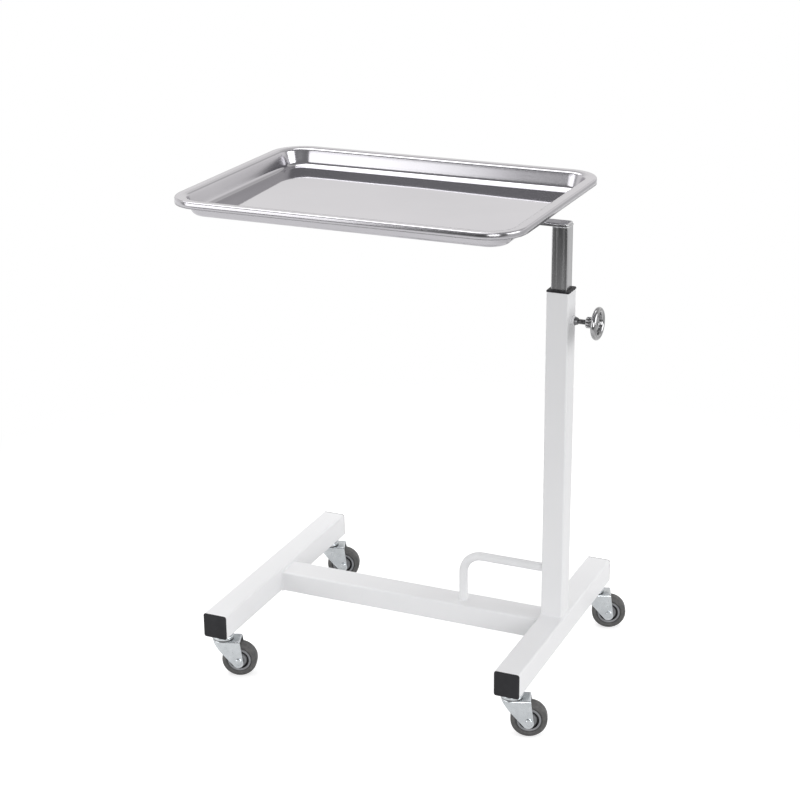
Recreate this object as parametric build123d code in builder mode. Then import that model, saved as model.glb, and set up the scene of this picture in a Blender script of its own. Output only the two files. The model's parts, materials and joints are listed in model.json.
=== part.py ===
from build123d import *
import os
from math import asin, atan2, cos, hypot, radians, sin

# A mayo instrument stand: a welded base on four casters, a clamped square mast and a drawn tray.
# The origin is on the floor, at the middle of the overall footprint. X runs along the tray, Y to the rear.

# Clearances
face_gap = 0.3
running_gap = 0.06
slip_gap = 0.25
least_corner = 0.5

# Base frame
base_width = 531.0
base_depth = 437.0
leg_size = 40.0
leg_wall = 2.0
leg_corner = 3.5
beam_depth = 48.0
beam_height = 34.0
beam_wall = 2.0
beam_corner = 3.0
loop_diameter = 14.0
loop_wall = 1.5
loop_bend = 32.0
loop_reach = 137.0
loop_height = 80.0

# End caps
cap_plate = 2.5
cap_edge = 1.2
cap_plug_length = 10.0
cap_plug_wall = 2.5

# Post and its guide bush
post_size = 35.0
post_wall = 1.5
post_corner = 3.0
post_length = 529.0
post_inset = 4.0
bush_flange = 2.5
bush_edge = 0.8
bush_overhang = 0.5
bush_liner = 25.0

# Mast
mast_size = 25.0
mast_wall = 1.5
mast_corner = 2.0
mast_length = 527.0
mast_showing = 96.0
guide_flange = 4.0
guide_plug = 22.0
guide_plug_corner = 1.0
arm_thickness = 5.0
arm_tip_gap = 70.0
arm_end_radius = 4.0
arm_top_radius = 2.0
bar_width = 20.0
bar_span = 290.0
bar_from_mast = 110.0
bar_spacing = 330.0
pad_diameter = 16.0
pad_height = 1.0
pad_from_tip = 14.0

# Tray
tray_length = 555.0
tray_width = 409.0
tray_corner = 56.0
tray_depth = 28.5
sheet = 1.0
lip_height = 10.0
lip_bend = 3.0
flange_width = 16.0
wall_slope = 14.0
floor_bend = 9.0
mouth_edge = 0.8

# Clamp
clamp_below_top = 45.5
screw_diameter = 8.0
boss_length = 10.0
boss_diameter = 14.0
boss_nose = 10.0
thrust_diameter = 12.0
thrust_thickness = 2.0
screw_tip = 0.8
stud_showing = 12.5
hub_length = 15.0
hub_diameter = 17.0
hub_flutes = 10
flute_radius = 1.5
flute_rise = 0.6
disc_diameter = 50.0
disc_thickness = 9.0
disc_back = 1.5
disc_dish = 3.0
disc_crown = 1.0
disc_overlap = 2.0

# Casters
caster_height = 73.0
caster_inset = 25.0
caster_trail = 26.0
caster_turn = 20.0
wheel_diameter = 56.0
tyre_width = 22.0
tyre_shoulder = 4.0
tyre_seat = 18.6
rim_ring = 3.6
rim_width = 20.0
rim_web = 5.0
wheel_hub_radius = 11.8
wheel_hub_width = 22.0
hub_nose_radius = 8.0
sleeve_diameter = 10.0
axle_diameter = 6.0
axle_head_diameter = 11.0
axle_head_height = 2.6
axle_nut_flats = 10.0
axle_nut_height = 5.0
axle_tail = 1.5
fork_width = 32.0
fork_sheet = 2.0
fork_back = 2.6
fork_toe = 7.0
fork_eye = 11.0
fork_skirt = 3.0
fork_edge = 2.4
crown_drop = 10.0
stem_diameter = 10.0
stem_length = 22.0
stem_tip = 1.0
collar_diameter = 20.0
collar_height = 3.0
race_diameter = 34.0
race_height = 5.0
race_edge = 1.6
ball_track_radius = 11.0
ball_track_width = 3.4
track_depth = 1.5
rivet_head_diameter = 16.0
rivet_head_height = 2.5
nut_flats = 16.0
nut_height = 8.0

# Places that follow from the sizes above
wheel_radius = wheel_diameter / 2
turn = radians(caster_turn)
knob_reach = boss_length + stud_showing + hub_length + disc_thickness - disc_overlap
overall_width = tray_length + post_size / 2 + knob_reach
mast_x = tray_length - overall_width / 2
wheel_reach = (caster_trail + wheel_radius - tyre_shoulder) * sin(turn)
wheel_reach += (tyre_width / 2 - tyre_shoulder) * cos(turn) + tyre_shoulder
axle_end = fork_width / 2 + axle_nut_height + axle_tail
axle_reach = (caster_trail + axle_diameter / 2) * sin(turn) + axle_end * cos(turn)
rear_overhang = max(0.0, wheel_reach - caster_inset, axle_reach - caster_inset)
mid_y = -rear_overhang / 2
front_y = mid_y - base_depth / 2
rear_y = mid_y + base_depth / 2
right_leg_x = mast_x + post_size / 2 + post_inset - leg_size / 2
left_leg_x = right_leg_x - base_width + leg_size
leg_bottom_z = caster_height
leg_top_z = leg_bottom_z + leg_size
beam_top_z = leg_bottom_z + beam_height
post_top_z = leg_top_z + post_length
bush_top_z = post_top_z + bush_flange
mast_top_z = bush_top_z + mast_showing
arm_top_z = mast_top_z + arm_thickness
tray_bottom_z = arm_top_z + pad_height
rim_z = tray_bottom_z + tray_depth
tray_x = mast_x - tray_length / 2
clamp_z = post_top_z - clamp_below_top
axle_z = wheel_radius
crown_z = leg_bottom_z - crown_drop
pad_y = bar_span / 2 - pad_from_tip

os.makedirs("parts", exist_ok=True)


def save(part, name):
    part.label = name
    export_step(part, f"parts/{name}.step")


def square_tube(plane, length, width, height, wall, corner):
    """A tube with rounded corners, along the plane's own normal."""
    with BuildPart() as tube:
        with BuildSketch(plane):
            RectangleRounded(width, height, corner)
            inner = max(corner - wall, least_corner)
            RectangleRounded(width - 2 * wall, height - 2 * wall, inner, mode=Mode.SUBTRACT)
        extrude(amount=length)
    return tube


# Legs: square tubes from front to rear, each with two stem holes in its lower wall
for side, leg_x in (("left", left_leg_x), ("right", right_leg_x)):
    start = Plane((leg_x, front_y + cap_plate, leg_bottom_z + leg_size / 2), z_dir=(0, 1, 0), x_dir=(1, 0, 0))
    tube = square_tube(start, base_depth - 2 * cap_plate, leg_size, leg_size, leg_wall, leg_corner)
    with BuildPart() as leg:
        add(tube.part)
        with BuildSketch(Plane.XY.offset(leg_bottom_z)):
            with Locations((leg_x, front_y + caster_inset), (leg_x, rear_y - caster_inset)):
                Circle(stem_diameter / 2 + face_gap)
        extrude(amount=leg_wall, mode=Mode.SUBTRACT)
    save(leg.part, f"{side}_leg")

# Cross beam: a flatter tube between the legs, level with their undersides
beam_start = Plane(
    (left_leg_x + leg_size / 2, mid_y, leg_bottom_z + beam_height / 2), z_dir=(1, 0, 0), x_dir=(0, 1, 0)
)
beam_length = base_width - 2 * leg_size
save(square_tube(beam_start, beam_length, beam_depth, beam_height, beam_wall, beam_corner).part, "cross_beam")

# Post: an upright tube on the right leg, with the clamp hole in its outer wall
post_start = Plane((mast_x, mid_y, leg_top_z))
post_tube = square_tube(post_start, post_length, post_size, post_size, post_wall, post_corner)
with BuildPart() as post:
    add(post_tube.part)
    with BuildSketch(Plane((mast_x + mast_size / 2, mid_y, clamp_z), z_dir=(1, 0, 0))):
        Circle(screw_diameter / 2 + face_gap)
    extrude(amount=post_size, mode=Mode.SUBTRACT)
save(post.part, "post")

# Foot loop: a bent tube that rises from the beam and runs level to the post
post_left_x = mast_x - post_size / 2
loop_x = post_left_x - loop_reach
loop_z = beam_top_z + loop_height
with BuildPart() as foot_loop:
    with BuildLine(Plane.XZ.offset(-mid_y)) as loop_path:
        FilletPolyline((loop_x, beam_top_z), (loop_x, loop_z), (post_left_x, loop_z), radius=loop_bend)
    with BuildSketch(Plane((loop_x, mid_y, beam_top_z))):
        Circle(loop_diameter / 2)
        Circle(loop_diameter / 2 - loop_wall, mode=Mode.SUBTRACT)
    sweep(path=loop_path.wires()[0])
save(foot_loop.part, "foot_loop")


def end_cap(plane):
    """A moulded cap: a rounded plate with a hollow plug that grips inside the tube."""
    plug = leg_size - 2 * leg_wall - 2 * slip_gap
    with BuildPart() as cap:
        with BuildSketch(plane):
            RectangleRounded(leg_size, leg_size, leg_corner)
        extrude(amount=cap_plate)
        chamfer(cap.faces().sort_by(Axis(plane.origin, plane.z_dir))[-1].edges(), cap_edge)
        with BuildSketch(plane):
            RectangleRounded(plug, plug, leg_corner - leg_wall)
            hollow = plug - 2 * cap_plug_wall
            RectangleRounded(hollow, hollow, leg_corner - leg_wall, mode=Mode.SUBTRACT)
            Rectangle(plug - cap_plug_wall, cap_plug_wall)
            Rectangle(cap_plug_wall, plug - cap_plug_wall)
        extrude(amount=-cap_plug_length)
    return cap


for side, leg_x in (("left", left_leg_x), ("right", right_leg_x)):
    for end, cap_y, out in (("front", front_y + cap_plate, -1), ("rear", rear_y - cap_plate, 1)):
        mouth = Plane((leg_x, cap_y, leg_bottom_z + leg_size / 2), z_dir=(0, out, 0), x_dir=(1, 0, 0))
        save(end_cap(mouth).part, f"{end}_{side}_cap")

# Guide bush: a flange on the post's rim and a liner inside it
bush_bore = mast_size + 2 * face_gap
bush_outside = post_size + 2 * bush_overhang
liner = post_size - 2 * post_wall - 2 * slip_gap
with BuildPart() as post_bush:
    with BuildSketch(Plane.XY.offset(post_top_z)):
        with Locations((mast_x, mid_y)):
            RectangleRounded(bush_outside, bush_outside, post_corner)
    extrude(amount=bush_flange)
    chamfer(post_bush.faces().sort_by(Axis.Z)[-1].edges(), bush_edge)
    with BuildSketch(Plane.XY.offset(post_top_z)):
        with Locations((mast_x, mid_y)):
            RectangleRounded(liner, liner, post_corner - post_wall)
    extrude(amount=-bush_liner)
    with BuildSketch(Plane.XY.offset(post_top_z - bush_liner)):
        with Locations((mast_x, mid_y)):
            RectangleRounded(bush_bore, bush_bore, mast_corner)
    extrude(amount=bush_liner + bush_flange, mode=Mode.SUBTRACT)
save(post_bush.part, "post_bush")

# Mast: the inner tube, with a guide plug at its foot
mast_bottom_z = mast_top_z - mast_length
inner_tube = square_tube(
    Plane((mast_x, mid_y, mast_bottom_z)), mast_length, mast_size, mast_size, mast_wall, mast_corner
)
save(inner_tube.part, "inner_tube")

guide = post_size - 2 * post_wall - 2 * face_gap
plug = mast_size - 2 * mast_wall - 2 * slip_gap
with BuildPart() as lower_guide:
    with BuildSketch(Plane.XY.offset(mast_bottom_z - guide_flange)):
        with Locations((mast_x, mid_y)):
            RectangleRounded(guide, guide, post_corner - post_wall)
    extrude(amount=guide_flange)
    with BuildSketch(Plane.XY.offset(mast_bottom_z)):
        with Locations((mast_x, mid_y)):
            RectangleRounded(plug, plug, guide_plug_corner)
            hollow = plug - 2 * cap_plug_wall
            RectangleRounded(hollow, hollow, guide_plug_corner, mode=Mode.SUBTRACT)
    extrude(amount=guide_plug)
save(lower_guide.part, "lower_guide")

# Tray support: a flat arm on the mast, with bars welded to its two sides and low pads on their tips
arm_right_x = mast_x + mast_size / 2
arm_left_x = mast_x - tray_length + arm_tip_gap
with BuildPart() as mast_arm:
    with BuildSketch(Plane.XY.offset(mast_top_z)):
        with Locations(((arm_left_x + arm_right_x) / 2, mid_y)):
            Rectangle(arm_right_x - arm_left_x, mast_size)
    extrude(amount=arm_thickness)
    fillet(mast_arm.edges().filter_by(Axis.Z), arm_end_radius)
    top_end = mast_arm.faces().sort_by(Axis.Z)[-1].edges().filter_by(Axis.Y).sort_by(Axis.X)[-1]
    fillet(top_end, arm_top_radius)
save(mast_arm.part, "mast_arm")

bar_length = (bar_span - mast_size) / 2
bar_places = {"inner": mast_x - bar_from_mast, "outer": mast_x - bar_from_mast - bar_spacing}
for place, bar_x in bar_places.items():
    for end, out in (("front", -1), ("rear", 1)):
        with BuildPart() as bar:
            with BuildSketch(Plane.XY.offset(mast_top_z)):
                with Locations((bar_x, mid_y + out * (mast_size + bar_length) / 2)):
                    Rectangle(bar_width, bar_length)
            extrude(amount=arm_thickness)
            tip = bar.edges().filter_by(Axis.Z).sort_by(Axis.Y)
            fillet(tip[:2] if out < 0 else tip[-2:], arm_end_radius)
        save(bar.part, f"{place}_{end}_bar")

with BuildPart() as tray_pads:
    with BuildSketch(Plane.XY.offset(arm_top_z)):
        for bar_x in bar_places.values():
            with Locations((bar_x, mid_y - pad_y), (bar_x, mid_y + pad_y)):
                Circle(pad_diameter / 2)
    extrude(amount=pad_height)
save(tray_pads.part, "tray_pads")


def tray_plan(height, inset, corner_inset):
    """The tray's rounded outline at a height, drawn in by an inset."""
    with BuildSketch(Plane.XY.offset(height)) as plan:
        with Locations((tray_x, mid_y)):
            RectangleRounded(
                tray_length - 2 * inset, tray_width - 2 * inset, tray_corner - corner_inset
            )
    return plan


# Tray: one drawn sheet, with a flat flange, a turned-down lip and sloping walls
with BuildPart() as tray_cavity:
    add(tray_plan(rim_z, flange_width, flange_width).sketch)
    extrude(amount=-(tray_depth - sheet), taper=wall_slope)
    fillet(tray_cavity.faces().sort_by(Axis.Z)[0].edges(), floor_bend - sheet)

with BuildPart() as tray:
    add(tray_plan(rim_z - lip_height, 0, 0).sketch)
    extrude(amount=lip_height)
    fillet(tray.faces().sort_by(Axis.Z)[-1].edges(), lip_bend)
    with BuildPart(mode=Mode.PRIVATE) as under_lip:
        add(tray_plan(rim_z - lip_height, sheet, sheet).sketch)
        extrude(amount=lip_height - sheet)
        fillet(under_lip.faces().sort_by(Axis.Z)[-1].edges(), lip_bend - sheet)
    add(under_lip.part, mode=Mode.SUBTRACT)
    with BuildPart(mode=Mode.PRIVATE) as tray_body:
        add(tray_plan(rim_z - sheet, flange_width - sheet, flange_width - sheet).sketch)
        extrude(amount=-(tray_depth - sheet), taper=wall_slope)
        fillet(tray_body.faces().sort_by(Axis.Z)[0].edges(), floor_bend)
    add(tray_body.part)
    add(tray_cavity.part, mode=Mode.SUBTRACT)
    top_face = tray.faces().sort_by(Axis.Z)[-1]
    chamfer(top_face.inner_wires().edges(), mouth_edge)
save(tray.part, "tray")

# Clamp: boss, screw, knob and thrust pad on one level axis
post_right_x = mast_x + post_size / 2
clamp_plane = Plane((post_right_x, mid_y, clamp_z), z_dir=(1, 0, 0))
with BuildPart() as clamp_boss:
    with BuildSketch(clamp_plane):
        Circle(boss_diameter / 2)
    extrude(amount=boss_length / 2)
    with BuildSketch(clamp_plane.offset(boss_length / 2)):
        Circle(boss_diameter / 2)
    with BuildSketch(clamp_plane.offset(boss_length)):
        Circle(boss_nose / 2)
    loft()
    with BuildSketch(clamp_plane):
        Circle(screw_diameter / 2 + running_gap)
    extrude(amount=boss_length, mode=Mode.SUBTRACT)
save(clamp_boss.part, "clamp_boss")

thrust_plane = Plane((mast_x + mast_size / 2, mid_y, clamp_z), z_dir=(1, 0, 0))
with BuildPart() as clamp_pad:
    with BuildSketch(thrust_plane):
        Circle(thrust_diameter / 2)
    extrude(amount=thrust_thickness)
save(clamp_pad.part, "clamp_pad")

hub_start = boss_length + stud_showing
disc_start = hub_start + hub_length - disc_overlap
screw_start = mast_size / 2 + thrust_thickness - post_size / 2
with BuildPart() as clamp_screw:
    with BuildSketch(clamp_plane.offset(screw_start)):
        Circle(screw_diameter / 2)
    extrude(amount=disc_start - screw_start)
    chamfer(clamp_screw.edges().sort_by(Axis.X)[0], screw_tip)
save(clamp_screw.part, "clamp_screw")

with BuildPart() as knob_hub:
    with BuildSketch(clamp_plane.offset(hub_start)):
        Circle(hub_diameter / 2)
        with PolarLocations(hub_diameter / 2 + flute_rise, hub_flutes):
            Circle(flute_radius, mode=Mode.SUBTRACT)
    extrude(amount=hub_length - disc_overlap)
    with BuildSketch(clamp_plane.offset(hub_start)):
        Circle(screw_diameter / 2)
    extrude(amount=hub_length - disc_overlap, mode=Mode.SUBTRACT)
save(knob_hub.part, "knob_hub")

# The disc is turned: a thick round rim, drawn as flats, about a thin web that is dished outside
disc_x = post_right_x + disc_start
rim_round = disc_thickness / 2
rim_centre = (disc_x + rim_round, clamp_z + disc_diameter / 2 - rim_round)
rim_flats = [
    (rim_centre[0] + rim_round * cos(radians(angle)), rim_centre[1] + rim_round * sin(radians(angle)))
    for angle in (225, 180, 135, 90, 45, 0, -45)
]
web_x = disc_x + disc_thickness - disc_dish
web_edge_z = rim_flats[-1][1] - rim_round / 4
with BuildPart() as knob_disc:
    with BuildSketch(Plane.XZ.offset(-mid_y)):
        with BuildLine():
            Polyline(
                (disc_x, clamp_z),
                (disc_x, clamp_z + hub_diameter / 2),
                (disc_x + disc_back, web_edge_z),
                *rim_flats,
                (web_x - disc_crown, web_edge_z),
                (web_x, clamp_z + screw_diameter / 2),
                (web_x, clamp_z),
                close=True,
            )
        make_face()
    revolve(axis=Axis((0, mid_y, clamp_z), (1, 0, 0)))
save(knob_disc.part, "knob_disc")

# Weld nuts inside the legs, one above each caster stem
caster_places = {
    "front_left": (left_leg_x, front_y + caster_inset),
    "front_right": (right_leg_x, front_y + caster_inset),
    "rear_left": (left_leg_x, rear_y - caster_inset),
    "rear_right": (right_leg_x, rear_y - caster_inset),
}
with BuildPart() as weld_nuts:
    with BuildSketch(Plane.XY.offset(leg_bottom_z + leg_wall)):
        with Locations(*caster_places.values()):
            RegularPolygon(nut_flats / 2, 6, major_radius=False)
            Circle(stem_diameter / 2 + running_gap, mode=Mode.SUBTRACT)
    extrude(amount=nut_height)
save(weld_nuts.part, "caster_weld_nuts")


def ring(plane, outer, inner, height):
    """A plain ring on a plane."""
    with BuildPart() as washer:
        with BuildSketch(plane):
            Circle(outer)
            Circle(inner, mode=Mode.SUBTRACT)
        extrude(amount=height)
    return washer


track_in = ball_track_radius - ball_track_width / 2
track_out = ball_track_radius + ball_track_width / 2
race_bottom_z = leg_bottom_z - collar_height - race_height


def caster_stem(x, y):
    """The fixed part of a caster: threaded stem, collar, upper race and the kingpin's riveted head."""
    head_top_z = crown_z - fork_sheet - face_gap
    with BuildPart() as stem:
        with BuildSketch(Plane((x, y, head_top_z - rivet_head_height))):
            Circle(rivet_head_diameter / 2)
        extrude(amount=rivet_head_height)
        chamfer(stem.faces().sort_by(Axis.Z)[0].edges(), rivet_head_height / 2)
        with BuildSketch(Plane((x, y, head_top_z))):
            Circle(stem_diameter / 2)
        extrude(amount=leg_bottom_z + stem_length - head_top_z)
        chamfer(stem.faces().sort_by(Axis.Z)[-1].edges(), stem_tip)
        with BuildPart(mode=Mode.PRIVATE) as race:
            with BuildSketch(Plane((x, y, race_bottom_z))):
                Circle(race_diameter / 2)
            extrude(amount=race_height)
            chamfer(race.faces().sort_by(Axis.Z)[-1].edges(), race_edge)
            with BuildSketch(Plane((x, y, race_bottom_z))):
                Circle(track_out + face_gap)
                Circle(track_in - face_gap, mode=Mode.SUBTRACT)
            extrude(amount=track_depth, mode=Mode.SUBTRACT)
        add(race.part)
        with BuildSketch(Plane((x, y, race_bottom_z + race_height))):
            Circle(collar_diameter / 2)
        extrude(amount=collar_height)
    return stem


def fork_side():
    """The fork's side outline swept across its width: level crown, slanted front and a round eye."""
    crown_front = -fork_width / 2
    front_z = crown_z - fork_skirt
    reach = hypot(caster_trail - crown_front, axle_z - front_z)
    slant = atan2(axle_z - front_z, caster_trail - crown_front) - asin(fork_eye / reach)
    edge = (reach**2 - fork_eye**2) ** 0.5
    tangent = (crown_front + edge * cos(slant), front_z + edge * sin(slant))
    toe = (caster_trail + fork_toe, axle_z)
    with BuildPart() as side:
        with BuildSketch(Plane.XZ.offset(-fork_width / 2)):
            with BuildLine():
                Polyline(
                    toe, (caster_trail + fork_back, crown_z), (crown_front, crown_z), (crown_front, front_z), tangent
                )
                ThreePointArc(tangent, (caster_trail, axle_z - fork_eye), toe)
            make_face()
        extrude(amount=fork_width)
    return side


def fork_plan(inset, height):
    """The fork's outline from above: round in front about the swivel axis, straight behind."""
    half = fork_width / 2 - inset
    rear = caster_trail + 2 * fork_toe
    with BuildPart() as plan:
        with BuildSketch():
            Circle(half)
            with Locations((rear / 2, 0)):
                Rectangle(rear, 2 * half)
        extrude(amount=height)
    return plan


# Every caster part is drawn about its own swivel axis, with the trail along X, and then set under a leg end
axle_plane = Plane((caster_trail, 0, axle_z), x_dir=(1, 0, 0), z_dir=(0, -1, 0))
radial_plane = Plane((caster_trail, 0, axle_z), x_dir=(0, 1, 0), z_dir=(1, 0, 0))
wheel_axis = Axis((caster_trail, 0, axle_z), (0, 1, 0))
lower_race_z = race_bottom_z - face_gap

# Fork: one pressing, with a raised ball track on its crown, a kingpin hole and two axle eyes
with BuildPart() as fork:
    add(fork_side().part)
    add(fork_plan(0, leg_bottom_z).part, mode=Mode.INTERSECT)
    fillet(fork.faces().sort_by(Axis.Z)[-1].edges(), fork_edge)
    add(fork_plan(fork_sheet, crown_z - fork_sheet).part, mode=Mode.SUBTRACT)
    with BuildSketch(Plane.XY.offset(crown_z - fork_sheet / 2)):
        Circle(track_out + fork_sheet)
    extrude(amount=lower_race_z - crown_z + fork_sheet / 2)
    with BuildSketch(Plane.XY.offset(lower_race_z - track_depth)):
        Circle(track_out)
        Circle(track_in, mode=Mode.SUBTRACT)
    extrude(amount=track_depth, mode=Mode.SUBTRACT)
    with BuildSketch(Plane.XY.offset(crown_z - 2 * fork_sheet)):
        Circle(stem_diameter / 2 + face_gap)
    extrude(amount=race_height + 2 * fork_sheet, mode=Mode.SUBTRACT)
    with BuildSketch(axle_plane.offset(-fork_width)):
        Circle(axle_diameter / 2 + running_gap)
    extrude(amount=2 * fork_width, mode=Mode.SUBTRACT)

# Ball ring: the row of swivel balls in their cage, drawn as one ring
ball_height = race_bottom_z + track_depth - face_gap - (lower_race_z - track_depth)
ball_ring = ring(Plane.XY.offset(lower_race_z - track_depth), track_out, track_in, ball_height)

# Axle: a bolt with a low round head, its nut, and the sleeve that the fork grips
with BuildPart() as axle_bolt:
    with BuildSketch(axle_plane.offset(-fork_width / 2 - axle_nut_height - axle_tail)):
        Circle(axle_diameter / 2)
    extrude(amount=fork_width + axle_nut_height + axle_tail)
    with BuildSketch(axle_plane.offset(fork_width / 2)):
        Circle(axle_head_diameter / 2)
    extrude(amount=axle_head_height)
    chamfer(axle_bolt.faces().sort_by(Axis.Y)[0].edges(), axle_head_height / 3)

with BuildPart() as axle_nut:
    with BuildSketch(axle_plane.offset(-fork_width / 2)):
        RegularPolygon(axle_nut_flats / 2, 6, major_radius=False)
        Circle(axle_diameter / 2 + running_gap, mode=Mode.SUBTRACT)
    extrude(amount=-axle_nut_height)

sleeve_half = fork_width / 2 - fork_sheet
axle_sleeve = ring(
    axle_plane.offset(-sleeve_half), sleeve_diameter / 2, axle_diameter / 2 + running_gap, 2 * sleeve_half
)

# Rim: a moulded wheel centre with a proud hub, a thin web in a deep groove, and the ring that holds the tyre
ring_inner = tyre_seat - rim_ring
with BuildPart() as rim:
    bore = sleeve_diameter / 2 + running_gap
    nose_width = 2 * (sleeve_half - face_gap)
    with BuildSketch(radial_plane):
        for width, low, high in (
            (nose_width, bore, hub_nose_radius),
            (wheel_hub_width, bore, wheel_hub_radius),
            (rim_web, wheel_hub_radius, ring_inner),
            (rim_width, ring_inner, tyre_seat),
        ):
            with Locations((0, (low + high) / 2)):
                Rectangle(width, high - low)
    revolve(axis=wheel_axis)

with BuildPart() as tyre:
    with BuildSketch(radial_plane):
        with Locations((0, (tyre_seat + wheel_radius) / 2)):
            Rectangle(tyre_width, wheel_radius - tyre_seat)
    revolve(axis=wheel_axis)
    shoulders = tyre.edges().filter_by(GeomType.CIRCLE).sort_by(lambda edge: edge.radius)[-2:]
    chamfer(shoulders, tyre_shoulder, tyre_shoulder / 2)

caster_pieces = {
    "fork": fork,
    "ball_ring": ball_ring,
    "axle_bolt": axle_bolt,
    "axle_nut": axle_nut,
    "axle_sleeve": axle_sleeve,
    "wheel_rim": rim,
    "tyre": tyre,
}
for corner, (x, y) in caster_places.items():
    save(caster_stem(x, y).part, f"{corner}_stem")
    for piece_name, piece in caster_pieces.items():
        with BuildPart() as placed:
            with Locations(Location((x, y, 0), (0, 0, caster_turn))):
                add(piece.part)
        save(placed.part, f"{corner}_{piece_name}")
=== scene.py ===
# %% [markdown]
# # A mayo instrument stand, dressed for its picture
#
# The stand is a welded base on four casters, a square mast that slides in the post and is held by a clamp
# knob, and a drawn steel tray that lies loose on the mast's arm. Its pieces come from a imported model, the
# frame, which knows what moves with what. This lesson gives every piece its finish, and builds anew those
# that a plain solid can't show well: the tray, the tyres and wheel centres, the clamp and the caster ball
# rings, which are made dark to paint the shade between the races. Weld beads and race rings are added.
#
# The frame is loaded first. A piece of the frame keeps its place and its mesh, and only its material and its
# modifiers change. A new piece that stands for one of them hides it and rides on the same body.

# %% Load the frame
import json
import math
import random
import bpy
from mathutils import Matrix, Vector


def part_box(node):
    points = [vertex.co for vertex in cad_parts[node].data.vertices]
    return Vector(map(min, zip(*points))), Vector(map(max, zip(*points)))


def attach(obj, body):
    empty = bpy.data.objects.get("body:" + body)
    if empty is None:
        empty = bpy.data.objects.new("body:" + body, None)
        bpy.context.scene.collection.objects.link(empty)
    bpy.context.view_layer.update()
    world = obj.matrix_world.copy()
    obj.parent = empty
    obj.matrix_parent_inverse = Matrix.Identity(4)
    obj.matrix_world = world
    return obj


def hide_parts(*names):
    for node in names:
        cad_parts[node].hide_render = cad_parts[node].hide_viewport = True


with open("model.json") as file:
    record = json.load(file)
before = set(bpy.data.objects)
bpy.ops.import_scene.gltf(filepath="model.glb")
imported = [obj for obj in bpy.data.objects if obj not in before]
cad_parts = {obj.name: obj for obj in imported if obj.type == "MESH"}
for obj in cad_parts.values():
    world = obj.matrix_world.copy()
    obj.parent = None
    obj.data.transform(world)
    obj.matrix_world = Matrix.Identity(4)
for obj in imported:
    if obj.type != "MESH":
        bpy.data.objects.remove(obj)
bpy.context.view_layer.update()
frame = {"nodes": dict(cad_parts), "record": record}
cad_nodes = frame["nodes"]
MM = 0.001

# %% [markdown]
# ## Camera
#
# The picture was taken from the right of the stand's front, above the tray, with a long lens from about
# three metres. A camera could be aimed with a Track To constraint, but the picture also leans half a degree,
# so the three angles are turned into the camera's own axes. A long lens keeps the upright post nearly
# parallel.

# %% Place the camera
scene = bpy.context.scene
camera_place = Vector((1.1088, -2.5297, 1.4503))
camera_yaw, camera_pitch, camera_roll = (math.radians(a) for a in (24.0, 20.214, -0.594))
sensor_width = 36.0
picture_side = 800
focal_pixels = 1878.59


def camera_axes(yaw, pitch, roll):
    """The camera's right, up and backward directions, from its three angles."""
    forward = Vector((-math.sin(yaw) * math.cos(pitch), math.cos(yaw) * math.cos(pitch), -math.sin(pitch)))
    level_right = forward.cross(Vector((0, 0, 1))).normalized()
    level_up = level_right.cross(forward)
    right = math.cos(roll) * level_right + math.sin(roll) * level_up
    up = math.cos(roll) * level_up - math.sin(roll) * level_right
    return right, up, -forward


camera_data = bpy.data.cameras.new("photo_camera")
camera_data.sensor_width = sensor_width
camera_data.lens = sensor_width * focal_pixels / picture_side
camera = bpy.data.objects.new("photo_camera", camera_data)
scene.collection.objects.link(camera)
turned = Matrix(camera_axes(camera_yaw, camera_pitch, camera_roll)).transposed().to_4x4()
camera.matrix_world = Matrix.Translation(camera_place) @ turned
scene.camera = camera
print("lens", round(camera_data.lens, 2), "mm")

# %% [markdown]
# ## Helpers for nodes
#
# A finish, the room and the floor are all made of nodes. A handful of short functions add the nodes that come
# back again and again: a colour ramp, a range, a mix of two colours and a little arithmetic. Each takes the
# tree first and gives back the socket to link on from, so that they can be nested like sums.

# %% Helpers for colours


def stepped(tree, factor, stops, interpolation="LINEAR"):
    """A colour that runs through stops of (place from 0 to 1, colour) as the factor grows."""
    node = tree.nodes.new("ShaderNodeValToRGB")
    node.color_ramp.interpolation = interpolation
    elements = node.color_ramp.elements
    for i, (place, colour) in enumerate(stops):
        stop = elements[i] if i < 2 else elements.new(place)
        stop.position = place
        stop.color = (*colour, 1)
    tree.links.new(factor, node.inputs["Fac"])
    return node.outputs["Color"]


def mixed(tree, factor, first, second, blend="MIX"):
    """One colour at factor 0 and another at factor 1, or the two blended another way."""
    node = tree.nodes.new("ShaderNodeMix")
    node.data_type = "RGBA"
    node.blend_type = blend
    for value, socket in ((factor, "Factor"), (first, "A"), (second, "B")):
        if isinstance(value, float):
            node.inputs[socket].default_value = value
        elif isinstance(value, tuple):
            node.inputs[socket].default_value = (*value, 1)
        else:
            tree.links.new(value, node.inputs[socket])
    return node.outputs["Result"]


print("colour helpers:", stepped.__name__, mixed.__name__)

# %% Helpers for numbers


def ranged(tree, value, low, high, from_low, from_high, way="SMOOTHSTEP"):
    """A value that runs from low to high as another goes between its two marks."""
    node = tree.nodes.new("ShaderNodeMapRange")
    node.interpolation_type = way
    node.inputs["From Min"].default_value = from_low
    node.inputs["From Max"].default_value = from_high
    node.inputs["To Min"].default_value = low
    node.inputs["To Max"].default_value = high
    tree.links.new(value, node.inputs["Value"])
    return node.outputs["Result"]


def combined(tree, operation, first, second):
    """Two values joined by an operation, each a socket or a number."""
    node = tree.nodes.new("ShaderNodeMath")
    node.operation = operation
    for place, value in enumerate((first, second)):
        if isinstance(value, float):
            node.inputs[place].default_value = value
        else:
            tree.links.new(value, node.inputs[place])
    return node.outputs[0]


def vector_step(tree, operation, vector, other=None):
    """A node that does one vector operation, with a fixed second vector where it takes one."""
    node = tree.nodes.new("ShaderNodeVectorMath")
    node.operation = operation
    tree.links.new(vector, node.inputs[0])
    if other is not None:
        node.inputs[1].default_value = other
    return node


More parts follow.
